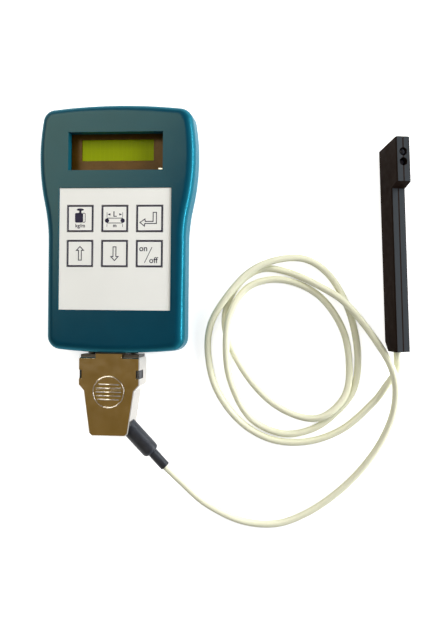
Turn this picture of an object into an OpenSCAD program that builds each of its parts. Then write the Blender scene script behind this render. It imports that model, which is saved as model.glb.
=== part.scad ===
// Belt tension tester: a handheld case with a display and a membrane keypad,
// a sensor lead on a nine-way plug, and a stick probe with an optical head.
// Millimetres. The origin is the centre of the case's back face, +Z comes out of the keypad
// and +Y points to the display end.

/* [Case] */
// Length of the case, end to end
case_length = 145; // [142:1:152]
// Width across the swell beside the display
head_width = 93.2; // [90:0.2:97]
// Width of the straight grip
grip_width = 82.2; // [80:0.2:85]
// Depth from the back to the keypad face
case_depth = 25; // [25:0.5:28]
// Height of the widest place above the middle
swell_y = 42; // [40:1:45]
// Radius of the swell's side
swell_radius = 128; // [118:2:140]
// Radius of the hollow between the swell and the grip
waist_radius = 102; // [90:2:120]
// Radius of the crowned ends
crown_radius = 340; // [280:10:400]
// Radius of the outline's corners
corner_radius = 8.25; // [7.5:0.25:9]
// Rounding of the face and back edges
edge_radius = 5; // [4:0.25:5.5]
// Side wall thickness
wall = 2.5; // [2.25:0.25:2.75]
// Thickness of the keypad face
face_wall = 3; // [2.75:0.25:3.25]

/* [Display] */
// Width of the window
window_width = 55.5; // [50:0.5:56]
// Height of the window
window_height = 22; // [18:0.5:23]
// Height of the window's middle above the case's middle
window_y = 44.6; // [43.6:0.2:45.4]
// Width of the viewing area
view_width = 43; // [36:0.5:46]
// Height of the viewing area
view_height = 12.4; // [10:0.2:14]
// Depth of the display frame below the face
display_depth = 8; // [7:0.25:8.5]

/* [Keypad] */
// Width of the keypad sheet
pad_width = 65.5; // [64:0.5:66]
// Height of the keypad sheet
pad_height = 70.4; // [68:0.4:71]
// Height of the sheet's middle
pad_y = -11.9; // [-12.5:0.1:-11.5]
// Side of a square key
key_size = 14.9; // [13:0.1:15.6]
// Spacing of the key columns
key_pitch = 20.4; // [18.5:0.1:21]
// Spacing of the key rows
row_pitch = 20.2; // [18.5:0.1:21]
// Height of the upper key row
key_row_y = 5.7; // [5:0.1:6.5]
// Gap around a key
key_gap = 0.2; // [0.15:0.05:0.3]
// How far the sheet lies below the face
sheet_depth = 0.5; // [0.3:0.05:0.6]

/* [Plug] */
// Sideways place of the connector
plug_x = -4; // [-5:0.5:0]
// Height of the connector's middle above the split line
plug_rise = 0.5; // [0.25:0.25:1]
// Width of the hood
hood_width = 36.4; // [34.6:0.2:37]
// Length of the hood behind its shoulder
hood_length = 46; // [44:0.2:48]
// Thickness of the hood
hood_thickness = 15.5; // [15.3:0.1:17]
// Width of the hood at its neck
neck_width = 30.2; // [28:0.2:31]
// Width of the hood at its tail
tail_width = 23.2; // [21:0.2:24]
// Radius of the ring on the hood
ring_radius = 9.5; // [8:0.25:10.5]
// Angle at which the lead leaves the hood
exit_angle = 48.5; // [45:0.5:52]
// Diameter of the strain relief
boot_diameter = 10; // [9:0.25:10.5]
// Diameter of the sleeve on the lead
sleeve_diameter = 5.8; // [5.4:0.1:6.4]

/* [Lead] */
// Diameter of the sensor lead
cord_diameter = 4.2; // [3.6:0.1:4.2]

/* [Probe] */
// Length of the probe
probe_length = 121; // [112:1:130]
// Thickness of the probe across its seam
probe_width = 8.4; // [8.2:0.1:9.6]
// Depth of the probe's stick
stick_depth = 16; // [15.5:0.25:18]
// Depth of the probe's head
head_depth = 23.5; // [22.5:0.25:26]
// Length of the nose
nose_length = 25; // [23:0.5:30]
// Diameter of the two light holes
eye_diameter = 4.4; // [3.6:0.1:4.8]
// Spacing of the two light holes
eye_pitch = 5.6; // [5.4:0.1:6.4]

/* [Hidden] */
$fn = 48;
case_colour = [0.15, 0.3, 0.34];
end_y = -case_length / 2;
split_z = case_depth / 2;
plug_z = split_z + plug_rise;
draft = 0.4;
rear_draft = 1.8;
face_z = case_depth - face_wall;
floor_z = wall;

// keypad layers, from the recess floor up
sheet_top = case_depth - sheet_depth;
sheet_thick = 0.35;
spacer_thick = 0.7;
circuit_thick = 0.25;
sheet_z = sheet_top - sheet_thick;
spacer_z = sheet_z - spacer_thick;
circuit_z = spacer_z - circuit_thick;
fit_gap = 0.15;
snug_gap = 0.02;
key_travel = 0.25;
nub_height = 0.2;
tail_width_flat = 14;
tail_y = 17.4;

// battery bay
battery_head = 2;
socket_room = 14.5;
battery_size = [26.5, 48.5, case_depth - floor_z - face_wall - battery_head];
battery_y = end_y + socket_room;
battery_end = battery_y + battery_size[1];
battery_z = floor_z + 0.15;
bay_width = 28;
bay_length = 50;
bay_y = battery_y - 0.8;
ledge = 2;
rebate = 1.2;
door_gap = 0.3;
door_sink = 0.2;

// display stack
glass_top = case_depth - display_depth;
frame_width = 58;
frame_height = 27;
frame_thick = 3.6;
frame_z = glass_top - frame_thick;
board_thick = 1.6;
display_board_z = frame_z - board_thick;
header_height = 1.8;
main_z = display_board_z - header_height - board_thick;
main_top = main_z + board_thick;
main_low = battery_end + 9.5;
main_high = window_y + 12.4;
view_x = -1.2;
view_y = window_y + 2.7;
collar_wall = 1.5;
collar_drop = 1.5;

// fixings
boss_radius = 3.6;
screw_places = [[37, 62.5], [-37, 62.5], [33.5, -61.5], [-33.5, -61.5]];
board_boss_radius = 2.3;
board_x = frame_width / 2 + board_boss_radius + 0.6;
main_width = 2 * board_x + 4;
board_places = [for (y = [main_high - 5, main_low + 5]) for (s = [1, -1]) [s * board_x, y]];
head_sink = 2.2;
head_height = 2.2;

// connector, measured from the end of the case
screw_pitch = 25;
seat_y = end_y + wall + 0.6;
flange_size = [screw_pitch + 5.8, 12.5];
flange_thick = 1;
opening_size = [20.4, 11.8];
snout_size = [16.3, 7.7];
shell_size = [17.9, 9.3];
skin = 0.5;
post_y = end_y + 2;
post_end = end_y - 0.3;
shank_tip = post_end + 1.2;
plug_flange_y = end_y - 0.6;
plug_flange_thick = 1.8;
hood_y = plug_flange_y - plug_flange_thick;
hood_tail_y = hood_y - hood_length;
hood_half = hood_thickness / 2;
tongue_half = 7.9;
hood_edge = 0.5;
pin_pitch = 2.77;
pin_row = 1.42;
pin_radius = 0.5;
shank_radius = 1.4;
running_gap = 0.08;
wheel_radius = 4;
wheel_length = 6.2;
chamber_radius = wheel_radius + 0.4;
chamber_y = hood_y - 6.4;
chamber_length = wheel_length + 0.6;
hood_screw_x = 10;
hood_screw_y = hood_y - 24.1;
ring_y = hood_y - 20.1;

// lead exit: a straight axis through the hood's corner
exit_point = [plug_x + 10.8, hood_tail_y + 3.4, plug_z - 0.5];
exit_drop = 6.5;
exit_dir = [cos(exit_drop) * cos(exit_angle), -cos(exit_drop) * sin(exit_angle), -sin(exit_drop)];
boot_inside = 12;
boot_length = 19.3;
sleeve_end = 31;
sleeve_inside = 6;

// probe pose: it leans on its back edge and turns a little in the table's plane
probe_foot = [162.1, -69.6];
probe_tilt = 15;
probe_turn = 2.4;
probe_lift = probe_width / 2 * sin(probe_tilt);
nose_slope = 2.4;
top_slope = 2;
tail_cut = [6.5, 4.5];
edge_cut = 0.6;
lead_depth = 7.5;
lead_bore = 4;
first_eye = 8.4;
probe_wall = 1.5;

// route of the lead on the table, from the sleeve round the loops to the probe
cord_radius = cord_diameter / 2;
cord_loops = [
    [36, -150, 6.2], [51, -164, 3.2], [72, -174, 2.3], [93, -175.5, 2.2], [111, -169, 2.3],
    [129, -156.5, 2.6], [145, -140, 3.6], [157, -121, 5.4], [163, -101, 8.8], [161.5, -82, 11.6],
    [152, -64, 9.8], [135, -42.5, 7], [119.5, -32, 4.8], [101, -23.5, 2.6], [85, -21, 2.2],
    [72.5, -27.5, 2.2], [64.5, -39, 2.2], [61.5, -52.5, 2.2], [64.5, -66.5, 2.2], [75, -85.5, 2.2],
    [89.5, -101, 2.6], [106.5, -109.5, 4.4], [121.5, -109, 6.8], [134, -97, 5.4], [137, -80.5, 2.6],
    [133.5, -59, 2.2], [122, -40.5, 2.2], [107, -30.5, 2.2], [90, -27.5, 2.6], [75, -33, 4],
    [66, -47, 6.4], [63, -64.5, 6.8], [65, -88, 2.9], [77, -111, 2.2], [96, -120.5, 2.2],
    [114, -118, 2.2], [128, -108.5, 2.2], [139.5, -93.5, 2.2], [142, -72.5, 2.2], [137, -47.5, 2.2],
    [125.5, -26, 2.6], [110.5, -15.5, 4], [93, -16, 6], [76.5, -23.5, 6.8], [62.5, -39, 6.3],
    [53, -55.5, 3.6], [51.5, -74, 2.2], [57, -95, 2.2], [71.5, -114, 2.2], [91, -124.5, 2.2],
    [113, -125, 2.2], [133.5, -117, 2.2], [150.5, -101.5, 3], [158.5, -90.5, 4.6]
];
cord_sides = 8;
cord_rings = 80;

// points on an arc from angle a to angle b
function arc(c, r, a, b, n) = [for (i = [0:n]) c + r * [cos(a + (b - a) * i / n), sin(a + (b - a) * i / n)]];

// a list without its last point, and a half outline mirrored to the other side
function open_end(p) = [for (i = [0:len(p) - 2]) p[i]];
function both_sides(p) = concat(p, [for (i = [len(p) - 1:-1:0]) if (p[i][0] > 0.001) [-p[i][0], p[i][1]]]);

// a closed outline moved inwards by d
function unit(v) = v / norm(v);
function inward(a, b) = let (t = unit(b - a)) [-t[1], t[0]];
function inset(p, d) = let (n = len(p)) [
    for (i = [0:n - 1])
        let (m = inward(p[(i + n - 1) % n], p[i]), k = inward(p[i], p[(i + 1) % n]))
        p[i] + d * (m + k) / (1 + m * k)
];

// a solid through one outline at several heights, each [height, inset]
module loft(p, layers) {
    n = len(p);
    m = len(layers);
    points = [for (l = layers) for (q = inset(p, l[1])) [q[0], q[1], l[0]]];
    sides = [
        for (k = [0:m - 2]) for (i = [0:n - 1])
            let (a = k * n + i, b = k * n + (i + 1) % n)
            each [[a, a + n, b + n], [a, b + n, b]]
    ];
    polyhedron(points, concat([[for (i = [0:n - 1]) i]], sides, [[for (i = [n - 1:-1:0]) (m - 1) * n + i]]));
}

// outline of the case, from the foot up the right side to the top
swell_side = head_width / 2;
grip_side = grip_width / 2;
sway = acos(1 - (swell_side - grip_side) / (swell_radius + waist_radius));
swell_c = [swell_side - swell_radius, swell_y];
waist_c = [grip_side + waist_radius, swell_y - (swell_radius + waist_radius) * sin(sway)];
top_c = [0, case_length / 2 - crown_radius];
foot_c = [0, crown_radius - case_length / 2];
foot_corner = [
    grip_side - corner_radius,
    foot_c[1] - sqrt(pow(crown_radius - corner_radius, 2) - pow(grip_side - corner_radius, 2))
];
// the top corner's centre lies on two circles, about the swell's centre and the crown's centre
reach = norm(top_c - swell_c);
swell_arm = swell_radius - corner_radius;
along = (swell_arm * swell_arm - pow(crown_radius - corner_radius, 2) + reach * reach) / (2 * reach);
aside = sqrt(swell_arm * swell_arm - along * along);
toward = (top_c - swell_c) / reach;
top_corner = swell_c + along * toward + aside * [-toward[1], toward[0]];
top_turn = atan2(top_corner[1] - top_c[1], top_corner[0] - top_c[0]);
swell_turn = atan2(top_corner[1] - swell_c[1], top_corner[0] - swell_c[0]);
foot_turn = atan2(foot_corner[1] - foot_c[1], foot_corner[0] - foot_c[0]);
case_outline = both_sides(concat(
    open_end(arc(foot_c, crown_radius, -90, foot_turn, 5)),
    arc(foot_corner, corner_radius, foot_turn, 0, 6),
    open_end(arc(waist_c, waist_radius, 180, 180 - sway, 6)),
    open_end(arc(swell_c, swell_radius, -sway, swell_turn, 12)),
    open_end(arc(top_corner, corner_radius, swell_turn, top_turn, 6)),
    arc(top_c, crown_radius, top_turn, 90, 5)
));

// heights and insets of a rounded edge that ends at height z, rising or falling
function edge_layers(z, s, d) = [
    for (i = [1:6]) let (a = 15 * i) [z - s * edge_radius * (1 - sin(a)), d + edge_radius * (1 - cos(a))]
];
front_layers = concat([[split_z, 0], [case_depth - edge_radius, draft]], edge_layers(case_depth, 1, draft));
rear_edge = edge_layers(0, -1, rear_draft);
rear_layers = concat([for (i = [5:-1:0]) rear_edge[i]], [[edge_radius, rear_draft], [split_z, 0]]);

module along_y(x, y, z, h, r) {
    translate([x, y, z]) rotate([90, 0, 0]) cylinder(h = h, r = r);
}

// the cut-outs for the connector, shared by both shells
module connector_cuts() {
    translate([plug_x - opening_size[0] / 2, end_y - 1, plug_z - opening_size[1] / 2])
        cube([opening_size[0], seat_y - end_y + 3, opening_size[1]]);
    for (s = [-1, 1]) {
        along_y(plug_x + s * screw_pitch / 2, seat_y + 2, plug_z, wall + 4, shank_radius + 0.2);
        along_y(plug_x + s * screw_pitch / 2, post_y, plug_z, 3, 3.4);
    }
    translate([plug_x - flange_size[0] / 2 - fit_gap, seat_y, plug_z - flange_size[1] / 2 - fit_gap])
        cube([flange_size[0] + 2 * fit_gap, flange_thick + 1, flange_size[1] + 2 * fit_gap]);
}

// flat seat for the connector's flange inside the end wall
module connector_seat(low, high) {
    translate([plug_x - 17, end_y + 1.4, low]) cube([34, seat_y - end_y - 1.4, high - low]);
}

module front_shell() color(case_colour) difference() {
    union() {
        difference() {
            loft(case_outline, front_layers);
            loft(case_outline,
                [[split_z - 1, wall], [face_z - 3, wall + draft], [face_z, wall + draft + 2]]);
        }
        translate([-window_width / 2 - collar_wall, window_y - window_height / 2 - collar_wall, 0])
            translate([0, 0, face_z - collar_drop])
            cube([window_width + 2 * collar_wall, window_height + 2 * collar_wall, collar_drop + 0.5]);
        for (p = screw_places)
            translate([p[0], p[1], split_z]) cylinder(h = face_z - split_z + 0.5, r = boss_radius);
        for (p = board_places)
            translate([p[0], p[1], main_top])
                cylinder(h = face_z - main_top + 0.5, r = board_boss_radius);
        connector_seat(split_z, case_depth - edge_radius - 0.6);
    }
    translate([-window_width / 2, window_y - window_height / 2, face_z - collar_drop - 1])
        cube([window_width, window_height, face_wall + collar_drop + 2]);
    translate([-pad_width / 2 - fit_gap, pad_y - pad_height / 2 - fit_gap, circuit_z])
        cube([pad_width + 2 * fit_gap, pad_height + 2 * fit_gap, 3]);
    translate([-tail_width_flat / 2 - 1, tail_y - 0.6, face_z - 1])
        cube([tail_width_flat + 2, 1.5, face_wall]);
    for (p = screw_places)
        translate([p[0], p[1], split_z - 1]) cylinder(h = 7.5, r = 1.3);
    for (p = board_places)
        translate([p[0], p[1], main_top - 1]) cylinder(h = 7, r = 1);
    connector_cuts();
}

module rear_shell() color(case_colour) difference() {
    union() {
        difference() {
            loft(case_outline, rear_layers);
            loft(case_outline,
                [[floor_z, wall + rear_draft + 2], [floor_z + 3, wall + rear_draft], [split_z + 1, wall]]);
        }
        for (p = screw_places)
            translate([p[0], p[1], floor_z - 0.5]) cylinder(h = split_z - floor_z + 0.5, r = boss_radius);
        for (s = [-1, 1])
            translate([s * (bay_width / 2 + 1.1) - 0.75, bay_y, floor_z - 0.5])
                cube([1.5, bay_length - 2, 8]);
        translate([-bay_width / 2 - 1, bay_y - 1.2, floor_z - 0.5]) cube([bay_width + 2, 1.2, 6]);
        connector_seat(edge_radius + 0.6, split_z);
    }
    for (p = screw_places) {
        translate([p[0], p[1], -1]) cylinder(h = split_z + 2, r = 1.4);
        translate([p[0], p[1], -1]) cylinder(h = 1 + head_sink + head_height, r = 2.9);
    }
    translate([-bay_width / 2, bay_y, -1]) cube([bay_width, bay_length, floor_z + 2]);
    translate([-bay_width / 2 - ledge, bay_y - ledge, -1])
        cube([bay_width + 2 * ledge, bay_length + 2 * ledge, 1 + rebate]);
    connector_cuts();
}

module battery_door() color(case_colour) difference() {
    union() {
        translate([-bay_width / 2 - ledge + door_gap, bay_y - ledge + door_gap, door_sink])
            cube([bay_width + 2 * (ledge - door_gap), bay_length + 2 * (ledge - door_gap),
                rebate - door_sink]);
        translate([-bay_width / 2 + door_gap, bay_y + door_gap, rebate - 0.2])
            cube([bay_width - 2 * door_gap, bay_length - 2 * door_gap, floor_z - rebate + 0.2]);
    }
    for (i = [0:4])
        translate([-8, bay_y + 3 + 2 * i, -1]) cube([16, 0.9, 1 + door_sink + 0.5]);
}

module case_screws() color([0.6, 0.62, 0.65]) for (p = screw_places) translate([p[0], p[1], 0]) difference() {
    union() {
        translate([0, 0, head_sink]) cylinder(h = head_height, r = 2.6);
        translate([0, 0, head_sink + head_height]) cylinder(h = split_z + 2, r = 1.25);
    }
    for (a = [0, 90])
        translate([0, 0, head_sink]) rotate([0, 0, a]) cube([3.2, 0.7, 2], center = true);
}

// keypad: printed sheet, spacer with pockets, circuit with its tail, and six keys on domes
function key_place(i) = [((i % 3) - 1) * key_pitch, key_row_y - floor(i / 3) * row_pitch];

module square_at(p, side, z, h) {
    translate([p[0] - side / 2, p[1] - side / 2, z]) cube([side, side, h]);
}

module keypad_layer(z, thick, hole) difference() {
    translate([-pad_width / 2, pad_y - pad_height / 2, z]) cube([pad_width, pad_height, thick]);
    for (i = [0:5])
        square_at(key_place(i), hole, z - 1, thick + 2);
}

module keypad_sheet() color([0.92, 0.92, 0.9]) keypad_layer(sheet_z, sheet_thick, key_size + 2 * key_gap);

module keypad_spacer() color([0.85, 0.85, 0.8]) keypad_layer(spacer_z, spacer_thick, key_size + 4 * key_gap);

module keypad_circuit() color([0.8, 0.78, 0.7]) union() {
    translate([-pad_width / 2, pad_y - pad_height / 2, circuit_z])
        cube([pad_width, pad_height, circuit_thick]);
    translate([-tail_width_flat / 2, tail_y, main_top + 2])
        cube([tail_width_flat, 0.3, circuit_z - main_top - 1.9]);
}

module key(i) {
    p = key_place(i);
    square_at(p, key_size, sheet_z, sheet_thick);
    translate([p[0], p[1], sheet_z - nub_height]) cylinder(h = nub_height + 0.1, r = 2);
}

module dome(i) {
    p = key_place(i);
    translate([p[0], p[1], spacer_z]) rotate_extrude()
        polygon([[0, 0.36], [2.5, 0.28], [4.6, 0], [5, 0], [5, 0.12], [4.7, 0.14], [2.6, 0.42], [0, 0.5]]);
}

module key_mass() color([0.92, 0.92, 0.9]) key(0);
module key_length() color([0.92, 0.92, 0.9]) key(1);
module key_enter() color([0.92, 0.92, 0.9]) key(2);
module key_up() color([0.92, 0.92, 0.9]) key(3);
module key_down() color([0.92, 0.92, 0.9]) key(4);
module key_power() color([0.92, 0.92, 0.9]) key(5);
module dome_mass() color([0.75, 0.76, 0.78]) dome(0);
module dome_length() color([0.75, 0.76, 0.78]) dome(1);
module dome_enter() color([0.75, 0.76, 0.78]) dome(2);
module dome_up() color([0.75, 0.76, 0.78]) dome(3);
module dome_down() color([0.75, 0.76, 0.78]) dome(4);
module dome_power() color([0.75, 0.76, 0.78]) dome(5);

// display: metal frame over the glass, on its own board above the main board
module display_frame() color([0.3, 0.24, 0.15]) difference() {
    translate([-frame_width / 2, window_y + 0.4 - frame_height / 2, frame_z])
        cube([frame_width, frame_height, frame_thick]);
    translate([-frame_width / 2 + 0.7, window_y + 1.1 - frame_height / 2, frame_z - 1])
        cube([frame_width - 1.4, frame_height - 1.4, frame_thick + 0.4]);
    translate([view_x - view_width / 2, view_y - view_height / 2, glass_top - 2])
        cube([view_width, view_height, 3]);
}

module display_glass() color([0.5, 0.56, 0.04])
    translate([-frame_width / 2 + 1, window_y + 1.4 - frame_height / 2, frame_z])
        cube([frame_width - 2, frame_height - 2, frame_thick - 0.65]);

module display_board() color([0.1, 0.3, 0.15])
    translate([-frame_width / 2 - 0.4, window_y - 1.1 - frame_height / 2, display_board_z])
        cube([frame_width + 0.8, frame_height + 3, board_thick]);

module display_header() color([0.08, 0.08, 0.08])
    translate([-0.35 * frame_width, main_high - 3.8, main_top])
        cube([0.7 * frame_width, 2.5, header_height]);

module display_spacers() color([0.85, 0.85, 0.82]) for (s = [-1, 1])
    translate([s * (frame_width / 2 - 3), window_y - 11.6, main_top]) cylinder(h = header_height, r = 2);

module main_board() color([0.08, 0.32, 0.16]) difference() {
    translate([-main_width / 2, main_low, main_z]) cube([main_width, main_high - main_low, board_thick]);
    for (p = board_places)
        translate([p[0], p[1], main_z - 1]) cylinder(h = board_thick + 2, r = 1.1);
}

module board_screws() color([0.6, 0.62, 0.65]) for (p = board_places)
    translate([p[0], p[1], main_z]) union() {
    translate([0, 0, -1.6]) cylinder(h = 1.6, r = 1.9);
    cylinder(h = board_thick + 5.5, r = 0.95);
}

module controller_chip() color([0.07, 0.07, 0.08])
    translate([-22, main_low + 8, main_top]) cube([12, 12, 1.8]);

module crystal_can() color([0.75, 0.76, 0.78]) translate([4, main_low + 2, main_top]) union() {
    cube([7, 4.4, 3.4]);
    for (x = [0, 7])
        translate([x, 2.2, 0]) cylinder(h = 3.4, r = 2.2);
}

module capacitors() color([0.1, 0.12, 0.2]) for (i = [0:2])
    translate([21, window_y - 19.6 - 8 * i, main_top]) cylinder(h = 7, r = 3.1);

module tail_connector() color([0.9, 0.88, 0.8]) difference() {
    translate([-tail_width_flat / 2 - 2, tail_y - 2.2, main_top]) cube([tail_width_flat + 4, 4.6, 4]);
    translate([-tail_width_flat / 2 - 0.3, tail_y - 0.2, main_top + 1.5])
        cube([tail_width_flat + 0.6, 0.7, 4]);
}

// block battery with two snap terminals, and the clip on them
snap_x = 6.35;
snap_z = battery_z + battery_size[2] / 2;

module battery() color([0.2, 0.2, 0.22]) union() {
    translate([-battery_size[0] / 2, battery_y, battery_z]) cube(battery_size);
    along_y(-snap_x, battery_end + 2.9, snap_z, 3.4, 2.9);
    along_y(snap_x, battery_end + 2.9, snap_z, 3.4, 4.2);
}

module battery_clip() color([0.06, 0.06, 0.06]) difference() {
    translate([-battery_size[0] / 2 + 0.75, battery_end + 0.2, battery_z + 2.75])
        cube([battery_size[0] - 1.5, 4, battery_size[2] - 5.5]);
    along_y(-snap_x, battery_end + 3, snap_z, 4, 3);
    along_y(snap_x, battery_end + 3, snap_z, 4, 4.3);
}

// connector: outline with slanted sides, drawn across X and Z and pushed towards -Y
module d_bar(w, h, y, l) {
    lean = h * tan(10);
    translate([plug_x, y, plug_z]) rotate([90, 0, 0]) linear_extrude(height = l)
        polygon([[-w / 2 + lean, -h / 2], [w / 2 - lean, -h / 2], [w / 2, h / 2], [-w / 2, h / 2]]);
}

module flange(y, thick, width) {
    translate([plug_x - width / 2, y - thick, plug_z - flange_size[1] / 2])
        cube([width, thick, flange_size[1]]);
}

// five contacts above four, along Y from y for length l
module contact_rods(y, l, r) {
    for (i = [0:4])
        along_y(plug_x + (i - 2) * pin_pitch, y, plug_z + pin_row, l, r);
    for (i = [0:3])
        along_y(plug_x + (i - 1.5) * pin_pitch, y, plug_z - pin_row, l, r);
}

snout_end = plug_flange_y + 0.5;
socket_rear = seat_y + flange_thick + 6;

module socket_shell() color([0.75, 0.74, 0.7]) difference() {
    union() {
        flange(seat_y + flange_thick, flange_thick, flange_size[0]);
        d_bar(snout_size[0], snout_size[1], seat_y + 0.1, seat_y + 0.1 - snout_end);
    }
    d_bar(snout_size[0] - 2 * skin, snout_size[1] - 2 * skin, seat_y + 3, 12);
    for (s = [-1, 1])
        along_y(plug_x + s * screw_pitch / 2, seat_y + 3, plug_z, 6, shank_radius + 0.1);
}

module socket_insert() color([0.06, 0.06, 0.07]) difference() {
    union() {
        d_bar(snout_size[0] - 2 * skin - 0.2, snout_size[1] - 2 * skin - 0.2,
            socket_rear, socket_rear - snout_end - 0.3);
        translate([plug_x - 9.5, seat_y + flange_thick, plug_z - 4.25])
            cube([19, socket_rear - seat_y - flange_thick, 8.5]);
    }
    contact_rods(socket_rear - 5, 20, pin_radius + 0.35);
}

module socket_contacts() color([0.8, 0.65, 0.25]) contact_rods(socket_rear + 2.4, 2.4, 0.6);

module jack_posts() color([0.78, 0.78, 0.76]) for (s = [-1, 1]) difference() {
    union() {
        translate([plug_x + s * screw_pitch / 2, post_y, plug_z]) rotate([90, 0, 0])
            cylinder(h = post_y - post_end, r = 2.75, $fn = 6);
        along_y(plug_x + s * screw_pitch / 2, seat_y + flange_thick + 1, plug_z,
            seat_y + flange_thick + 1.1 - post_y, shank_radius);
    }
    along_y(plug_x + s * screw_pitch / 2, post_y - 0.6, plug_z, 6, shank_radius + running_gap);
}

module plug_shell() color([0.78, 0.77, 0.72]) difference() {
    union() {
        flange(plug_flange_y, plug_flange_thick, hood_width - 1.6);
        d_bar(shell_size[0], shell_size[1], seat_y - 1, seat_y - 1 - plug_flange_y + 0.1);
    }
    d_bar(shell_size[0] - 2 * skin, shell_size[1] - 2 * skin, seat_y, seat_y - plug_flange_y + 0.2);
    d_bar(snout_size[0] - 2 * skin + 0.2, snout_size[1] - 2 * skin + 0.2, seat_y, 12);
    for (s = [-1, 1])
        along_y(plug_x + s * screw_pitch / 2, plug_flange_y + 2, plug_z, 6, shank_radius + 0.4);
}

module plug_insert() color([0.06, 0.06, 0.07]) difference() {
    union() {
        d_bar(snout_size[0] - 2 * skin, snout_size[1] - 2 * skin, plug_flange_y - 0.1, 2);
        translate([plug_x - 9.5, hood_y - 4.4, plug_z - 4.25]) cube([19, 4.4, 8.5]);
    }
    contact_rods(plug_flange_y + 2, 12, pin_radius + 0.05);
}

module plug_pins() color([0.8, 0.65, 0.25]) contact_rods(seat_y - 0.6, seat_y - hood_y + 6.4, pin_radius);

// hood: outlines of its shoulder block and of the taper behind it, in the plug's own frame
taper_spread = (neck_width - tail_width) / 2 / (hood_length - 21.3);
shoulder_outline = both_sides([
    [neck_width / 2 - 0.3, hood_y - 19.95], [hood_width / 2, hood_y - 16.1],
    [hood_width / 2, hood_y - 0.8], [hood_width / 2 - 0.8, hood_y]
]);
taper_outline = both_sides([
    [tail_width / 2 - 1.7, hood_tail_y], [tail_width / 2, hood_tail_y + 1.7],
    [neck_width / 2 + 8.1 * taper_spread, hood_y - 11.5]
]);

// a prism on an outline without hollows, with its upper edges cut off at 45 degrees
module bevelled(p, h, c) difference() {
    linear_extrude(height = h) polygon(p);
    for (i = [0:len(p) - 1])
        let (a = p[i], b = p[(i + 1) % len(p)])
        translate([a[0], a[1], h - c]) rotate([0, 0, atan2(b[1] - a[1], b[0] - a[0])]) rotate([45, 0, 0])
            translate([-60, -60, 0]) cube([120, 120, 60]);
}

module box_between(a, b) {
    translate(a) cube(b - a);
}

// everything hollow in a hood half, drawn for both halves at once
module hood_hollow() {
    deep = hood_half - 1.5;
    box_between([-9, hood_y - 0.1, 0.1 - hood_half + 1.3], [9, end_y + 1, hood_half - 1.4]);
    box_between([-10, chamber_y + 0.5, -5], [10, hood_y + 0.1, 5]);
    box_between([-7.3, hood_y - 20.5, -deep], [7.3, chamber_y + 0.6, deep]);
    translate([0, 0, -deep]) linear_extrude(height = 2 * deep) polygon([
        [neck_width / 2 - 1.9, hood_y - 20.3], [-neck_width / 2 + 1.9, hood_y - 20.3],
        [-tail_width / 2 + 1.6, hood_tail_y + 1.7], [tail_width / 2 - 1.6, hood_tail_y + 1.7]
    ]);
    for (s = [-1, 1]) {
        along_y(s * screw_pitch / 2, chamber_y, 0, chamber_length, chamber_radius);
        along_y(s * screw_pitch / 2, hood_y + 1, 0, 8, shank_radius + running_gap);
        translate([s * hood_width / 2 - 2, chamber_y - chamber_length + 0.9, -hood_half - 1])
            cube([4, chamber_length - 1.8, hood_thickness + 2]);
    }
}

// a turned shape on the lead's axis, from d along it
module on_exit(d) {
    translate(exit_point + d * exit_dir) rotate([0, 90 + exit_drop, -exit_angle]) children();
}

// one cup-shaped half, from the joint between the halves up
module hood_cup() difference() {
    union() {
        bevelled(shoulder_outline, hood_half, hood_edge);
        bevelled(taper_outline, hood_half, hood_edge);
        box_between([-tongue_half, hood_y - 2, 0], [tongue_half, end_y - 0.2, hood_half]);
    }
    hood_hollow();
}

module hood_part() {
    difference() {
        union() {
            translate([plug_x, 0, plug_z]) hood_cup();
            for (s = [-1, 1])
                translate([plug_x + s * hood_screw_x, hood_screw_y, plug_z])
                    cylinder(h = hood_half - 1.2, r = 2.4);
        }
        on_exit(-boot_inside - 0.2) cylinder(h = boot_inside + 12, r = boot_diameter / 2 + snug_gap);
    }
}

module hood_front() color([0.62, 0.55, 0.4]) difference() {
    union() {
        hood_part();
        translate([plug_x, ring_y, plug_z + hood_half - 0.2]) difference() {
            cylinder(h = 0.55, r = ring_radius);
            translate([0, 0, -1]) cylinder(h = 3, r = ring_radius - 0.8);
        }
        for (i = [-4:4])
            translate([plug_x + 1.75 * i - 0.45, ring_y - 2.4, plug_z + hood_half - 0.2])
                cube([0.9, 3.8, 0.5]);
        translate([plug_x - 7.45, ring_y + 2, plug_z + hood_half - 0.2]) cube([14.9, 0.6, 0.5]);
    }
    for (s = [-1, 1])
        translate([plug_x + s * hood_screw_x, hood_screw_y, plug_z - 1]) cylinder(h = 6, r = 0.95);
}

// the rear half is the front half turned over, so its lead bore is cut anew
module hood_rear() color([0.62, 0.55, 0.4]) difference() {
    union() {
        translate([plug_x, 0, plug_z]) mirror([0, 0, 1]) hood_cup();
        for (s = [-1, 1])
            translate([plug_x + s * hood_screw_x, hood_screw_y, plug_z - hood_half + 1.2])
                cylinder(h = hood_half - 1.2, r = 2.4);
    }
    on_exit(-boot_inside - 0.2) cylinder(h = boot_inside + 12, r = boot_diameter / 2 + snug_gap);
    for (s = [-1, 1]) translate([plug_x + s * hood_screw_x, hood_screw_y, plug_z - hood_half - 1]) {
        cylinder(h = hood_half + 2, r = 1.05);
        cylinder(h = 3.2, r = 2);
    }
}

module hood_screws() color([0.6, 0.62, 0.65]) for (s = [-1, 1])
    translate([plug_x + s * hood_screw_x, hood_screw_y, plug_z - hood_half]) difference() {
        union() {
            translate([0, 0, 0.6]) cylinder(h = 1.6, r = 1.8);
            translate([0, 0, 2.1]) cylinder(h = hood_half + 2.6, r = 0.9);
        }
        translate([0, 0, 0.6]) cube([2.6, 0.6, 1.2], center = true);
    }

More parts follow.
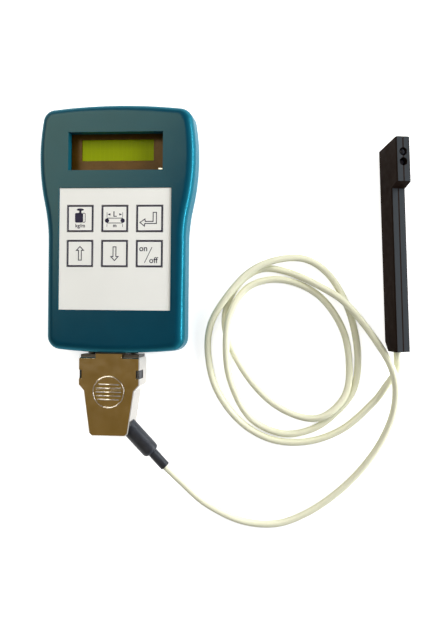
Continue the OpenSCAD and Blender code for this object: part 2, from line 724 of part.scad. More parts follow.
// captive screws: a thin shank and a ribbed wheel that shows in the hood's side
module jackscrew(s) translate([plug_x + s * screw_pitch / 2, 0, plug_z]) difference() {
    union() {
        along_y(0, shank_tip, 0, shank_tip + 0.5 - chamber_y, shank_radius);
        along_y(0, chamber_y - 0.3, 0, wheel_length, wheel_radius);
    }
    for (a = [0:22.5:359])
        rotate([0, a, 0]) along_y(wheel_radius + 0.1, chamber_y + 1, 0, wheel_length + 2, 0.4);
}

module jackscrew_left() color([0.7, 0.7, 0.68]) jackscrew(-1);
module jackscrew_right() color([0.7, 0.7, 0.68]) jackscrew(1);

module strain_relief() color([0.13, 0.15, 0.18]) on_exit(-boot_inside) rotate_extrude() polygon([
    [sleeve_diameter / 2 + snug_gap, 0], [boot_diameter / 2, 0],
    [boot_diameter / 2, boot_inside + boot_length - 2],
    [boot_diameter / 2 - 0.5, boot_inside + boot_length - 0.6],
    [boot_diameter / 2 - 1.4, boot_inside + boot_length],
    [sleeve_diameter / 2 + snug_gap, boot_inside + boot_length]
]);

module lead_sleeve() color([0.13, 0.15, 0.18]) on_exit(boot_length - sleeve_inside) difference() {
    cylinder(h = sleeve_end - boot_length + sleeve_inside, r = sleeve_diameter / 2);
    translate([0, 0, 6]) cylinder(h = 30, r = cord_radius + fit_gap);
}

// lead: rings along a smooth curve through the route's points
function probe_point(y, z) = [
    probe_foot[0] + z * sin(probe_tilt) * cos(probe_turn) - y * sin(probe_turn),
    probe_foot[1] + z * sin(probe_tilt) * sin(probe_turn) + y * cos(probe_turn),
    probe_lift + z * cos(probe_tilt)
];
cord_route = concat(
    [exit_point + (sleeve_end - 5) * exit_dir, exit_point + sleeve_end * exit_dir],
    cord_loops,
    [probe_point(-11, lead_depth - 1.4), probe_point(-3.4, lead_depth),
        probe_point(lead_bore - 0.1, lead_depth)]
);
route_last = len(cord_route) - 1;
function route_at(i) = i < 0 ? 2 * cord_route[0] - cord_route[1]
    : i > route_last ? 2 * cord_route[route_last] - cord_route[route_last - 1] : cord_route[i];
function curve_at(t) = let (
    i = min(floor(t), route_last - 1), x = t - i,
    a = route_at(i - 1), b = route_at(i), c = route_at(i + 1), d = route_at(i + 2)
) (2 * b + (c - a) * x + (2 * a - 5 * b + 4 * c - d) * x * x + (3 * b - a - 3 * c + d) * x * x * x) / 2;

module sensor_cord() color([0.9, 0.89, 0.8]) {
    n = cord_sides;
    centres = [for (k = [0:cord_rings - 1]) curve_at(k * route_last / (cord_rings - 1))];
    points = [
        for (k = [0:cord_rings - 1])
            let (
                t = unit(centres[min(k + 1, cord_rings - 1)] - centres[max(k - 1, 0)]),
                side = unit(cross(t, [0, 0, 1])),
                up = cross(side, t)
            )
            for (i = [0:n - 1]) centres[k] + cord_radius * (cos(360 * i / n) * side + sin(360 * i / n) * up)
    ];
    sides = [
        for (k = [0:cord_rings - 2]) for (i = [0:n - 1])
            let (a = k * n + i, b = k * n + (i + 1) % n)
            each [[a, b, b + n], [a, b + n, a + n]]
    ];
    last = (cord_rings - 1) * n;
    polyhedron(points, concat([[for (i = [n - 1:-1:0]) i]], sides, [[for (i = [0:n - 1]) last + i]]));
}

// probe: side view from the lead's end to the head, with depth upwards
nose_foot = probe_length - nose_length - nose_slope;
probe_outline = [
    [0, tail_cut[1]], [tail_cut[0], 0], [probe_length - top_slope, 0], [probe_length, head_depth],
    [probe_length - nose_length, head_depth], [nose_foot, stick_depth], [0, stick_depth]
];
eyes = [probe_length - first_eye, probe_length - first_eye - eye_pitch];
eye_seat = head_depth - 6.5;

module at_probe() {
    translate([probe_foot[0], probe_foot[1], probe_lift])
        rotate([0, 0, probe_turn]) rotate([0, probe_tilt, 0]) children();
}

// the hollow of both halves, in the probe's own frame
module probe_hollow() {
    deep = probe_width / 2 - probe_wall;
    box_between([-deep, 8, 2.5], [deep, probe_length - nose_length, stick_depth - 2.5]);
    box_between([-deep, probe_length - nose_length - 1, 2.5], [deep, probe_length - 4, eye_seat]);
    translate([0, lead_bore, lead_depth]) rotate([90, 0, 0])
        cylinder(h = lead_bore + 1, r = cord_radius + fit_gap);
    translate([0, 9, lead_depth]) rotate([90, 0, 0]) cylinder(h = 6, r = 1.2);
    for (y = eyes)
        translate([0, y, eye_seat - 1]) cylinder(h = 9, r = eye_diameter / 2);
}

// half a cross-section with its two outer edges broken, from a to b along the probe
module probe_section(a, b, depth) {
    half = probe_width / 2;
    translate([0, b, 0]) rotate([90, 0, 0]) linear_extrude(height = b - a) polygon([
        [0, 0], [half - edge_cut, 0], [half, edge_cut],
        [half, depth - edge_cut], [half - edge_cut, depth], [0, depth]
    ]);
}

module probe_half() intersection() {
    rotate([90, 0, 90]) linear_extrude(height = probe_width / 2) polygon(probe_outline);
    union() {
        probe_section(-1, nose_foot + 0.5, stick_depth);
        probe_section(nose_foot, probe_length + 1, head_depth);
    }
}

module probe_right() color([0.1, 0.1, 0.11]) at_probe() difference() {
    probe_half();
    probe_hollow();
}

module probe_left() color([0.1, 0.1, 0.11]) at_probe() difference() {
    mirror([1, 0, 0]) probe_half();
    probe_hollow();
}

module probe_board() color([0.08, 0.32, 0.16]) at_probe() union() {
    box_between([-0.6, 9.2, 2.6], [0.6, probe_length - nose_length, stick_depth - 2.6]);
    box_between([-0.6, probe_length - nose_length - 1, 2.6], [0.6, probe_length - 4.2, eye_seat - 1.1]);
}

// light parts: a flanged barrel with a round lens, set back in its hole
module light_part(y, back) at_probe() translate([0, y, eye_seat]) union() {
    translate([0, 0, -1]) cylinder(h = 1, r = eye_diameter / 2 + 0.2);
    cylinder(h = 6.5 - back - 1.2, r = eye_diameter / 2 - 0.1);
    translate([0, 0, 6.5 - back - 1.2]) rotate_extrude()
        polygon(concat([[0, 0]], arc([0, 0], eye_diameter / 2 - 0.1, 0, 60, 5),
            [[0, eye_diameter / 2 - 0.15]]));
}

module emitter() color([0.55, 0.6, 0.7]) light_part(eyes[0], 1.2);
module receiver() color([0.1, 0.1, 0.14]) light_part(eyes[1], 2.4);

front_shell();
rear_shell();
battery_door();
case_screws();
keypad_sheet();
keypad_spacer();
keypad_circuit();
key_mass();
key_length();
key_enter();
key_up();
key_down();
key_power();
dome_mass();
dome_length();
dome_enter();
dome_up();
dome_down();
dome_power();
display_frame();
display_glass();
display_board();
display_header();
display_spacers();
main_board();
board_screws();
controller_chip();
crystal_can();
capacitors();
tail_connector();
battery();
battery_clip();
socket_shell();
socket_insert();
socket_contacts();
jack_posts();
hood_front();
hood_rear();
hood_screws();
plug_shell();
plug_insert();
plug_pins();
jackscrew_left();
jackscrew_right();
strain_relief();
lead_sleeve();
sensor_cord();
probe_left();
probe_right();
probe_board();
emitter();
receiver();
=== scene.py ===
# %% [markdown]
# # A belt tension tester on a white table
# The solids come from CAD as a fixed frame. Here they get their finishes, and the pieces
# that CAD is poor at are added: the flexible lead, the printed signs on the keys, a few fine
# details of the display and the hood, and a plated wall and a black lip of painted shade in
# each of the hood's two slots at the side.

# %% Load the frame
import math

import bmesh
import bpy
from mathutils import Matrix, Vector


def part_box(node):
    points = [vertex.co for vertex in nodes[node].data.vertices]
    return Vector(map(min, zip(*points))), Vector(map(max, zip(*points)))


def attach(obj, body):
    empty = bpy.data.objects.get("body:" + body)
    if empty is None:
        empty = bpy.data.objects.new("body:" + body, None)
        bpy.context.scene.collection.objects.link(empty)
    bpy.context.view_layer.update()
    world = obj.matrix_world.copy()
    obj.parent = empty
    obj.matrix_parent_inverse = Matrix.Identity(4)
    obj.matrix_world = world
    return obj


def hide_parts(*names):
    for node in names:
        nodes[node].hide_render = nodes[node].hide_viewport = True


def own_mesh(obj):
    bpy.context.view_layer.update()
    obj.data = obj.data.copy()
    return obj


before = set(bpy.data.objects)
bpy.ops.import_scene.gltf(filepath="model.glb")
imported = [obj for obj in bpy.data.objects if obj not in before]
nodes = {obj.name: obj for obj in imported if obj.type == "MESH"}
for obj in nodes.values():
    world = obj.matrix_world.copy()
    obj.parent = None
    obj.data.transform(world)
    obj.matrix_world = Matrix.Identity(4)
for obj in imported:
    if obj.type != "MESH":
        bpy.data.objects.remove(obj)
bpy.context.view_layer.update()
MM = 0.001

# %% [markdown]
# ## Camera
# The photograph looks down on the table from close by, so its perspective is strong. The
# camera hangs 330 mm above the table to the right of the case, leans a little to the left,
# and is turned by half a degree. A small shift puts the crop where the photograph has it.

# %% Place the camera
CAMERA_AT = Vector((104.7, -47.6, 330)) * MM
FOCAL_PIXELS = 541
PICTURE_HEIGHT = 625
SENSOR_WIDTH = 36
SHIFT = -0.06
NEAR = 0.01
LEAN = math.radians(3.8)
ROLL = math.radians(0.6)
right = Vector((math.cos(LEAN), 0, -math.sin(LEAN)))
up = Vector((0, 1, 0))
back = right.cross(up)
rolled_right = math.cos(ROLL) * right + math.sin(ROLL) * up
rolled_up = math.cos(ROLL) * up - math.sin(ROLL) * right
turn = Matrix((rolled_right, rolled_up, back)).transposed().to_4x4()

camera_data = bpy.data.cameras.new("camera")
camera_data.sensor_width = SENSOR_WIDTH
camera_data.lens = SENSOR_WIDTH * FOCAL_PIXELS / PICTURE_HEIGHT
camera_data.shift_x = SHIFT
camera_data.clip_start = NEAR
camera = bpy.data.objects.new("camera", camera_data)
camera.matrix_world = Matrix.Translation(CAMERA_AT) @ turn
bpy.context.collection.objects.link(camera)
bpy.context.scene.camera = camera
print("lens", round(camera_data.lens, 2), "mm")

# %% [markdown]
# ## Helpers for finishes
# Every finish is a Principled shader fed by a few noise textures. Noise on Object coordinates
# stays fixed to the piece, so the grain never slides. Each helper adds one thing: a colour
# that varies a little, a roughness that varies a little, or a fine bump.

# %% Write the helpers for finishes
NOISE_LOW = 0.3
NOISE_HIGH = 0.7
GRAIN_DEPTH = 0.1 * MM


def add_node(owner, kind, inputs=None, **settings):
    node = owner.node_tree.nodes.new(kind)
    for key, value in settings.items():
        setattr(node, key, value)
    for key, value in (inputs or {}).items():
        node.inputs[key].default_value = value
    return node


def link(owner, source, target):
    owner.node_tree.links.new(source, target)


def shader_of(material):
    return material.node_tree.nodes["Principled BSDF"]


def new_finish(name, colour, roughness, metallic=0.0, specular=0.5):
    material = bpy.data.materials.new(name)
    material.use_nodes = True
    inputs = shader_of(material).inputs
    inputs["Base Color"].default_value = (*colour, 1)
    inputs["Roughness"].default_value = roughness
    inputs["Metallic"].default_value = metallic
    inputs["Specular IOR Level"].default_value = specular
    return material


def noise(material, scale, detail=3.0):
    place = add_node(material, "ShaderNodeTexCoord")
    texture = add_node(material, "ShaderNodeTexNoise", {"Scale": scale, "Detail": detail})
    link(material, place.outputs["Object"], texture.inputs["Vector"])
    return texture.outputs["Fac"]


def vary_colour(material, scale, low, high):
    ramp = add_node(material, "ShaderNodeValToRGB")
    first, last = ramp.color_ramp.elements
    first.position, first.color = NOISE_LOW, (*low, 1)
    last.position, last.color = NOISE_HIGH, (*high, 1)
    link(material, noise(material, scale), ramp.inputs["Fac"])
    link(material, ramp.outputs["Color"], shader_of(material).inputs["Base Color"])


def vary_roughness(material, scale, low, high):
    spread = add_node(material, "ShaderNodeMapRange", {
        "From Min": NOISE_LOW, "From Max": NOISE_HIGH, "To Min": low, "To Max": high,
    })
    link(material, noise(material, scale), spread.inputs["Value"])
    link(material, spread.outputs["Result"], shader_of(material).inputs["Roughness"])


def add_bump(material, scale, strength, depth):
    bump = add_node(material, "ShaderNodeBump", {"Strength": strength, "Distance": depth})
    link(material, noise(material, scale, 2.0), bump.inputs["Height"])
    link(material, bump.outputs["Normal"], shader_of(material).inputs["Normal"])


def grained(
    name, low, high, roughness, patch, grain, relief, metallic=0.0, specular=0.5, wander=0.15,
):
    material = new_finish(name, high, roughness, metallic, specular)
    vary_colour(material, patch, low, high)
    vary_roughness(material, patch * 3, roughness * (1 - wander), roughness * (1 + wander))
    add_bump(material, grain, relief, GRAIN_DEPTH)
    return material


print("helpers ready")

# %% [markdown]
# ## Helpers for pieces
# A CAD node is loose triangles. Weld joins them, Edge Split keeps the sharp edges sharp, and
# Weighted Normal lets the large flat faces rule the shading. A narrow Bevel gives moulded
# edges the small radius that catches the light. A new piece is drawn in a bmesh and then rides
# on its body.

# %% Write the helpers for pieces
WELD_REACH = 0.002 * MM
EDGE_SEGMENTS = 3
FLAT_WEIGHT = 60


def dress(material, *names, edge=0.0, sharp=32):
    for name in names:
        piece = nodes[name]
        piece.data.materials.clear()
        piece.data.materials.append(material)
        for face in piece.data.polygons:
            face.use_smooth = True
        weld = piece.modifiers.new("weld", "WELD")
        weld.merge_threshold = WELD_REACH
        if edge:
            bevel = piece.modifiers.new("edge", "BEVEL")
            bevel.width = edge * MM
            bevel.segments = EDGE_SEGMENTS
            bevel.limit_method = "ANGLE"
            bevel.angle_limit = math.radians(sharp)
            bevel.miter_outer = "MITER_ARC"
        split = piece.modifiers.new("split", "EDGE_SPLIT")
        split.split_angle = math.radians(sharp)
        normals = piece.modifiers.new("normals", "WEIGHTED_NORMAL")
        normals.keep_sharp = True
        normals.weight = FLAT_WEIGHT


def make_piece(name, bm, body, material, smooth=False):
    mesh = bpy.data.meshes.new(name)
    bm.to_mesh(mesh)
    bm.free()
    piece = bpy.data.objects.new(name, mesh)
    bpy.context.collection.objects.link(piece)
    mesh.materials.append(material)
    for face in mesh.polygons:
        face.use_smooth = smooth
    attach(piece, body)


def box_at(centre, size):
    return Matrix.Translation(Vector(centre) * MM) @ Matrix.Diagonal((*size, 1))


print(len(nodes), "CAD nodes")

# %% [markdown]
# ## The lead
# The lead is 1.1 m of soft ivory cable. It comes straight out of its sleeve, falls to the
# table, makes two and a half loose loops and goes into the foot of the probe. Its route is the
# CAD route: a smooth curve through listed points, rising a little wherever it crosses
# itself. A curve object with a round bevel is the natural way to make it.

# %% Lay the lead
LEAD_DIAMETER = 4.2 * MM
LEAD_ROUTE = [
    (23.92, -136.85, 9.56), (27.21, -140.57, 8.99), (36, -150, 6.2), (51, -164, 3.2),
    (72, -174, 2.3), (93, -175.5, 2.2), (111, -169, 2.3), (129, -156.5, 2.6), (145, -140, 3.6),
    (157, -121, 5.4), (163, -101, 8.8), (161.5, -82, 11.6), (152, -64, 9.8), (135, -42.5, 7),
    (119.5, -32, 4.8), (101, -23.5, 2.6), (85, -21, 2.2), (72.5, -27.5, 2.2), (64.5, -39, 2.2),
    (61.5, -52.5, 2.2), (64.5, -66.5, 2.2), (75, -85.5, 2.2), (89.5, -101, 2.6),
    (106.5, -109.5, 4.4), (121.5, -109, 6.8), (134, -97, 5.4), (137, -80.5, 2.6),
    (133.5, -59, 2.2), (122, -40.5, 2.2), (107, -30.5, 2.2), (90, -27.5, 2.6), (75, -33, 4),
    (66, -47, 6.4), (63, -64.5, 6.8), (65, -88, 2.9), (77, -111, 2.2), (96, -120.5, 2.2),
    (114, -118, 2.2), (128, -108.5, 2.2), (139.5, -93.5, 2.2), (142, -72.5, 2.2),
    (137, -47.5, 2.2), (125.5, -26, 2.6), (110.5, -15.5, 4), (93, -16, 6), (76.5, -23.5, 6.8),
    (62.5, -39, 6.3), (53, -55.5, 3.6), (51.5, -74, 2.2), (57, -95, 2.2), (71.5, -114, 2.2),
    (91, -124.5, 2.2), (113, -125, 2.2), (133.5, -117, 2.2), (150.5, -101.5, 3),
    (158.5, -90.5, 4.6), (164.14, -80.52, 6.98), (164.18, -72.92, 8.33), (163.87, -65.62, 8.33),
]
STEPS = 10
ROUNDNESS = 5


def smooth_route(points, steps):
    points = [Vector(p) * MM for p in points]
    ends = [2 * points[0] - points[1], *points, 2 * points[-1] - points[-2]]
    line = []
    for a, b, c, d in zip(ends, ends[1:], ends[2:], ends[3:]):
        for k in range(steps):
            t = k / steps
            bend = 2 * a - 5 * b + 4 * c - d
            twist = 3 * b - a - 3 * c + d
            line.append(0.5 * (2 * b + (c - a) * t + bend * t**2 + twist * t**3))
    return line + [points[-1]]


lead_line = smooth_route(LEAD_ROUTE, STEPS)
lead_curve = bpy.data.curves.new("lead", "CURVE")
lead_curve.dimensions = "3D"
lead_curve.bevel_depth = LEAD_DIAMETER / 2
lead_curve.bevel_resolution = ROUNDNESS
lead_curve.use_fill_caps = True
spline = lead_curve.splines.new("POLY")
spline.points.add(len(lead_line) - 1)
for point, place in zip(spline.points, lead_line):
    point.co = (*place, 1)
spline.use_smooth = True
lead = bpy.data.objects.new("lead", lead_curve)
bpy.context.collection.objects.link(lead)

lead_jacket = grained(
    "lead_jacket", (0.79, 0.785, 0.59), (0.85, 0.845, 0.66), 0.42,
    patch=35, grain=900, relief=0.05,
)
lead_curve.materials.append(lead_jacket)
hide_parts("sensor_cord")
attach(lead, "sensor_lead")

# %% [markdown]
# ## The case
# The two shells are moulded in grey teal plastic, a satin with a very fine spark texture that
# softens the sheen on the face. The height of the surface normal tells the sides from the face.
# The sides carry painted light: a lighter tone, a little metal and a blue tint paint a
# blue-green highlight on their lit edges. A green-yellow tint on the face paints the colour of
# its sheen. The battery cover shares the finish.

# %% Finish the case
# Painted light: where the normal tips from the face to the sides, the colour turns lighter and the
# highlights blue.
FACE_NORMAL = 0.97
SIDE_NORMAL = 0.70
PAINTED_SIDE_LIGHT = (0.0068, 0.130, 0.190, 1)
PAINTED_FACE_SHEEN_TINT = (0.75, 1.0, 0.61, 1)
PAINTED_SIDE_HIGHLIGHT_TINT = (0.50, 0.85, 1.0, 1)
PAINTED_SIDE_HIGHLIGHT_METAL = 0.45
case_plastic = grained(
    "case_plastic", (0.0006, 0.044, 0.080), (0.0010, 0.050, 0.090), 0.26,
    patch=40, grain=2400, relief=0.08, specular=0.12, wander=0.05,
)
shader = shader_of(case_plastic)
face_tone = shader.inputs["Base Color"].links[0].from_socket
way = add_node(case_plastic, "ShaderNodeTexCoord")
parts = add_node(case_plastic, "ShaderNodeSeparateXYZ")
# This mask picks the sides, where the painted light is mixed in.
side = add_node(case_plastic, "ShaderNodeMapRange", {
    "From Min": FACE_NORMAL, "From Max": SIDE_NORMAL,
})
# Mixes the face's own tone with the painted lighter side tone.
tone = add_node(case_plastic, "ShaderNodeMix", {"B": PAINTED_SIDE_LIGHT}, data_type="RGBA")
painted_highlight_tint = add_node(case_plastic, "ShaderNodeMix", {"A": PAINTED_FACE_SHEEN_TINT, "B": PAINTED_SIDE_HIGHLIGHT_TINT}, data_type="RGBA")
painted_highlight_metal = add_node(case_plastic, "ShaderNodeMath", {1: PAINTED_SIDE_HIGHLIGHT_METAL}, operation="MULTIPLY")
for source, target in (
    (way.outputs["Normal"], parts.inputs["Vector"]),
    (parts.outputs["Z"], side.inputs["Value"]),
    (face_tone, tone.inputs["A"]),
    (side.outputs["Result"], tone.inputs["Factor"]),
    (side.outputs["Result"], painted_highlight_tint.inputs["Factor"]),
    (side.outputs["Result"], painted_highlight_metal.inputs[0]),
    (tone.outputs["Result"], shader.inputs["Base Color"]),
    (painted_highlight_tint.outputs["Result"], shader.inputs["Specular Tint"]),
    (painted_highlight_metal.outputs["Value"], shader.inputs["Metallic"]),
):
    link(case_plastic, source, target)
dress(case_plastic, "front_shell", "rear_shell", sharp=28)
dress(case_plastic, "battery_door", edge=0.2)

screw_steel = grained(
    "screw_steel", (0.50, 0.50, 0.52), (0.62, 0.62, 0.64), 0.32,
    patch=300, grain=1500, relief=0.05, metallic=1.0,
)
dress(screw_steel, "case_screws", "board_screws", "hood_screws")
print("case dressed")

# %% [markdown]
# ## The display
# A small character module sits deep in the window. Its stamped frame is dark metal, and its
# warm brown tone is partly a painted reflection of the warm room. One tinned lug sits at its
# lower right corner, and its pale tin partly stands in for a glint there as a painted highlight.
# The reflective glass is yellow-green with faint character cells. A Brick texture without offset
# draws the cells. It is shifted so that four cells meet in the middle of the glass, and then by
# some whole cells to keep its coordinates above zero.

# %% Finish the display
LUG_AT = (24.5, 36.2)
LUG_SIZE = (2.4, 0.9, 0.4)
LUG_RISE = 0.1
LUG_EDGE = 0.12 * MM
# Painted reflection: the frame's warm brown stands partly for the warm room it mirrors.
frame_metal = grained(
    "frame_metal", (0.070, 0.034, 0.004), (0.098, 0.047, 0.006), 0.30,
    patch=120, grain=1800, relief=0.08, metallic=0.06, specular=0.06,
)
dress(frame_metal, "display_frame", edge=0.25)

frame_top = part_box("display_frame")[1].z / MM
lug = bmesh.new()
lug_place = box_at((*LUG_AT, frame_top + LUG_RISE), LUG_SIZE)
bmesh.ops.create_cube(lug, size=MM, matrix=lug_place)
bmesh.ops.bevel(
    lug, geom=lug.edges[:], offset=LUG_EDGE, segments=2, profile=0.5, affect="EDGES", material=-1,
)
# Painted highlight: the lug's pale tin partly stands in for a glint at this corner.
lug_tin_and_glint = grained(
    "lug_tin_and_glint", (0.80, 0.76, 0.62), (0.90, 0.87, 0.76), 0.35,
    patch=400, grain=2000, relief=0.1, metallic=0.4,
)
make_piece("frame_lug", lug, "tester", lug_tin_and_glint)

CELL_WIDTH = 2.69
CELL_HEIGHT = 6.2
CELLS_MIDDLE = (-1.2, 47.3)
CELLS_FROM = (8 * CELL_WIDTH - CELLS_MIDDLE[0], 2 * CELL_HEIGHT - CELLS_MIDDLE[1], 0)
TO_MM = (1000, 1000, 1000)
display_green = new_finish("display_glass", (0.23, 0.29, 0.003), 0.16, specular=0.01)
place = add_node(display_green, "ShaderNodeTexCoord")
shift = add_node(display_green, "ShaderNodeMapping", {"Location": CELLS_FROM, "Scale": TO_MM})
cells = add_node(display_green, "ShaderNodeTexBrick", {
    "Color1": (0.290, 0.360, 0.001, 1), "Color2": (0.300, 0.370, 0.001, 1),
    "Mortar": (0.320, 0.390, 0.002, 1), "Scale": 1, "Mortar Size": 0.25, "Mortar Smooth": 0.3,
    "Brick Width": CELL_WIDTH, "Row Height": CELL_HEIGHT,
}, offset=0.0, squash=1.0)
link(display_green, place.outputs["Object"], shift.inputs["Vector"])
link(display_green, shift.outputs["Vector"], cells.inputs["Vector"])
link(display_green, cells.outputs["Color"], shader_of(display_green).inputs["Base Color"])
vary_roughness(display_green, 90, 0.12, 0.2)
dress(display_green, "display_glass")
print("display dressed")

# %% [markdown]
# ## The keypad film
# The keypad is a white printed film in a shallow recess. The six keys are squares of the same
# film that move on their domes. Its surface is a fine satin, so the bump is slight.

# %% Finish the keypad film
KEYS = ("mass", "length", "enter", "up", "down", "power")
keypad_film = grained(
    "keypad_film", (0.85, 0.85, 0.83), (0.89, 0.89, 0.87), 0.5,
    patch=25, grain=3200, relief=0.05, specular=0.2,
)
dress(keypad_film, "keypad_sheet", *["key_" + key for key in KEYS])
key_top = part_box("key_mass")[1].z
print("key face at", round(key_top / MM, 2), "mm")

# %% [markdown]
# ## Tools for the printed signs
# The signs are thin layers of dark blue ink. Each is drawn flat in a bmesh: a face from a few
# corners, a ring by insetting that face and taking its middle out, a disc, or a word from the
# built-in font. At the end the flat drawing is extruded to the ink's thickness.

# %% Write the tools for the signs
INK = 0.03 * MM
SINK = 0.005 * MM
BOLDER = 0.06 * MM
INK_WELD = 0.001 * MM
DISC_SEGMENTS = 28
CORNER_SEGMENTS = 5
LETTER_STEPS = 6


def flat(bm, points):
    return bm.faces.new([bm.verts.new((x * MM, y * MM, 0)) for x, y in points])


def ring(bm, points, line):
    middle = flat(bm, points)
    middle.normal_update()
    bmesh.ops.inset_region(
        bm, faces=[middle], thickness=line * MM, use_even_offset=True, use_boundary=True,
    )
    bmesh.ops.delete(bm, geom=[middle], context="FACES")


def bar(bm, x0, y0, x1, y1):
    return flat(bm, [(x0, y0), (x1, y0), (x1, y1), (x0, y1)])


def disc(bm, x, y, width, height):
    oval = Matrix.Diagonal((width * MM / 2, height * MM / 2, 1, 1))
    place = Matrix.Translation((x * MM, y * MM, 0)) @ oval
    bmesh.ops.create_circle(bm, cap_ends=True, segments=DISC_SEGMENTS, radius=1, matrix=place)


def block(bm, x0, y0, x1, y1, corner):
    face = bar(bm, x0, y0, x1, y1)
    bmesh.ops.bevel(
        bm, geom=list(face.verts), offset=corner * MM, segments=CORNER_SEGMENTS, profile=0.5,
        affect="VERTICES", material=-1,
    )


def word(bm, text, x, y, size):
    curve = bpy.data.curves.new("word", "FONT")
    curve.body = text
    curve.size = size * MM
    curve.align_x = "CENTER"
    curve.align_y = "CENTER"
    curve.resolution_u = LETTER_STEPS
    curve.offset = BOLDER
    letters = bpy.data.objects.new("word", curve)
    bpy.context.collection.objects.link(letters)
    mesh = bpy.data.meshes.new_from_object(letters)
    mesh.transform(Matrix.Translation((x * MM, y * MM, 0)))
    bm.from_mesh(mesh)
    bpy.data.objects.remove(letters)
    bpy.data.meshes.remove(mesh)


def raise_ink(bm, centre):
    bmesh.ops.remove_doubles(bm, verts=bm.verts[:], dist=INK_WELD)
    risen = bmesh.ops.extrude_face_region(bm, geom=bm.faces[:])
    tops = [v for v in risen["geom"] if isinstance(v, bmesh.types.BMVert)]
    bmesh.ops.translate(bm, verts=tops, vec=(0, 0, INK + SINK))
    bmesh.ops.translate(bm, verts=bm.verts[:], vec=(*centre, key_top - SINK))
    bmesh.ops.recalc_face_normals(bm, faces=bm.faces[:])


key_ink = grained(
    "key_ink", (0.020, 0.017, 0.042), (0.028, 0.023, 0.058), 0.42,
    patch=200, grain=4000, relief=0.04, specular=0.05,
)
print("ink", INK / MM, "mm")

# %% [markdown]
# ## The signs on the keys
# The upper row sets the belt's mass for each metre, its free length and confirms. The lower
# row steps up and down and switches on and off. Outline arrows are rings; the weight is filled.
# All measures are millimetres from the middle of the key.

# %% Draw the signs
LINE = 0.5
FRAME_LINE = 0.68
BORDER_GAP = 0.43
BORDER_LINE = 0.23
PULLEY_X = 4.6
TICK_HALF = 0.12


def mass_sign(bm):
    disc(bm, 0, 5.15, 4.2, 1.5)
    bar(bm, -0.65, 3.1, 0.65, 4.7)
    block(bm, -3.1, -2.35, 1.3, 3.25, 0.7)
    ring(bm, [
        (1.33, -2.35), (2.6, -2.35), (3.1, -1.85), (3.1, 2.75), (2.6, 3.25), (1.33, 3.25),
    ], 0.36)
    word(bm, "kg/m", 0, -4.2, 3.0)


def length_sign(bm):
    for side in (-1, 1):
        x = side * PULLEY_X
        disc(bm, x, -1.2, 2.5, 2.5)
        flat(bm, [(side * 2.6, 3.0), (side * 4.3, 2.35), (side * 2.6, 1.7)][::side])
        bar(bm, x - TICK_HALF, 0.6, x + TICK_HALF, 3.6)
        bar(bm, x - TICK_HALF, -4.9, x + TICK_HALF, -3.2)
    bar(bm, -PULLEY_X, 0.0, PULLEY_X, 0.4)
    bar(bm, -PULLEY_X, -2.8, PULLEY_X, -2.4)
    word(bm, "L", 0, 2.4, 4.4)
    word(bm, "m", 0, -4.1, 2.8)


def enter_sign(bm):
    ring(bm, [
        (1.76, 3.77), (1.76, -1.46), (-2.35, -1.46), (-2.5, 0.1), (-6.1, -2.3),
        (-2.9, -4.8), (-2.6, -3.14), (4.18, -3.14), (4.18, 3.77),
    ], LINE)


def up_sign(bm, way=1):
    ring(bm, [(x, way * y) for x, y in (
        (0, 4.4), (-2.7, 1.5), (-1.1, 1.5), (-1.1, -4.1), (1.1, -4.1), (1.1, 1.5), (2.7, 1.5),
    )][::way], LINE)


def down_sign(bm):
    up_sign(bm, -1)


def power_sign(bm):
    word(bm, "on", -3.5, 2.9, 4.7)
    word(bm, "off", 2.4, -3.9, 4.7)
    flat(bm, [(-3.0, -5.3), (-2.6, -5.3), (1.7, 3.7), (1.3, 3.7)])


def square(half):
    return [(-half, -half), (half, -half), (half, half), (-half, half)]


SIGNS = (mass_sign, length_sign, enter_sign, up_sign, down_sign, power_sign)
borders = bmesh.new()
for key, sign in zip(KEYS, SIGNS):
    low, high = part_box("key_" + key)
    half = (high.x - low.x) / 2 / MM
    centre = ((low + high) / 2).xy
    drawing = bmesh.new()
    sign(drawing)
    ring(drawing, square(half), FRAME_LINE)
    raise_ink(drawing, centre)
    make_piece("sign_" + key, drawing, key + "_key", key_ink)
    edge = bmesh.new()
    ring(edge, square(half + BORDER_GAP), BORDER_LINE)
    raise_ink(edge, centre)
    scrap = bpy.data.meshes.new("edge")
    edge.to_mesh(scrap)
    edge.free()
    borders.from_mesh(scrap)
    bpy.data.meshes.remove(scrap)
make_piece("key_borders", borders, "tester", key_ink)
print(len(SIGNS), "signs")

# %% [markdown]
# ## The plug's hood
# The hood is moulded plastic with a bright metal plating, and it mirrors the warm room above
# it. A fine rounded bead follows its raised ring, and plain rounded grip ribs lie inside it, so
# both draw a clean line of light.

# %% Finish the hood
HOOD_X = -4
RING_CENTRE = Vector((HOOD_X, -95.0, 21.0)) * MM
RING_RADIUS = 9.1 * MM
BEAD_RADIUS = 0.25 * MM
RIB_RADIUS = 0.3 * MM
ROUND_SEGMENTS = 12
RING_STEPS = 96
RIB_PITCH = 2.2
RIB_LENGTHS = (12.4, 14.4, 15.0, 14.4, 12.4)
hood_plating = new_finish("hood_plating", (0.69, 0.66, 0.60), 0.2, metallic=1.0)
vary_colour(hood_plating, 110, (0.56, 0.54, 0.50), (0.62, 0.60, 0.56))
vary_roughness(hood_plating, 220, 0.11, 0.17)
add_bump(hood_plating, 120, 0.08, 0.2 * MM)
dress(hood_plating, "hood_front", "hood_rear", edge=0.12)


def quarter_turn(around):
    return Matrix.Rotation(math.pi / 2, 4, around)


